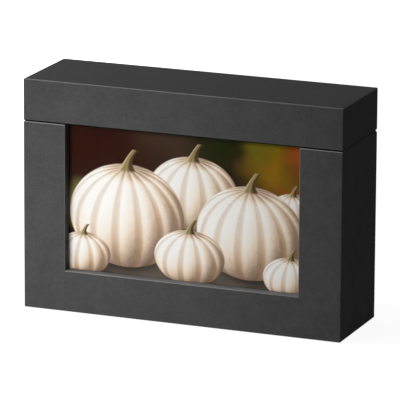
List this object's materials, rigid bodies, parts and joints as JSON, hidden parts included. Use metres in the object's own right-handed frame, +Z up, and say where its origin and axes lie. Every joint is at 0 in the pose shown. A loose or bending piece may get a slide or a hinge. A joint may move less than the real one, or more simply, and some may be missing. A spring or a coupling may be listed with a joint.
{
  "type": "photo storage box",
  "caption": "Upright wrapped box for photo prints, with a picture window in its front, a slot for the print on show and a lid hinged across the back.",
  "frame": {"origin": "middle of the face that the box stands on", "axes": "+Z up, -Y out of the picture window, +X to the right of someone who faces the window"},
  "size_m": [0.196, 0.058, 0.137],
  "materials": {
    "leatherette_wrap": "matt charcoal leather-look covering, faintly mottled, soft sheen on the turned edges",
    "greyboard": "raw grey bookbinding board",
    "frame_fibreboard": "raw medium density fibreboard",
    "lining_paper": "black uncoated paper",
    "hinge_cloth": "black book cloth",
    "clear_sheet": "clear polished sheet",
    "photo_print": null,
    "foot_paper": "black uncoated paper"
  },
  "bodies": {
    "base": {"base_wrap": "leatherette_wrap", "base_floor_board": "greyboard", "base_back_board": "greyboard", "base_left_board": "greyboard", "base_right_board": "greyboard", "frame_left_stile": "frame_fibreboard", "frame_right_stile": "frame_fibreboard", "frame_bottom_rail": "frame_fibreboard", "divider_board": "lining_paper", "slot_spacer_left": "greyboard", "slot_spacer_right": "greyboard", "slot_spacer_bottom": "greyboard", "window_sheet": "clear_sheet", "display_print": "photo_print", "foot_sheet": "foot_paper", "neck_panel_left": "lining_paper", "neck_panel_right": "lining_paper", "back_panel": "lining_paper", "floor_lining": "lining_paper", "hinge_tape_base": "hinge_cloth"},
    "lid": {"lid_wrap": "leatherette_wrap", "lid_top_board": "greyboard", "lid_front_board": "greyboard", "lid_back_board": "greyboard", "lid_left_board": "greyboard", "lid_right_board": "greyboard", "lid_lining": "lining_paper", "hinge_tape_lid": "hinge_cloth"}
  },
  "joints": [
    {"name": "lid_hinge", "type": "hinge", "parent": "base", "child": "lid", "pos_m": [0, 0.0278, 0.112], "axis": [-1, 0, 0], "range_deg": [0, 98]}
  ]
}
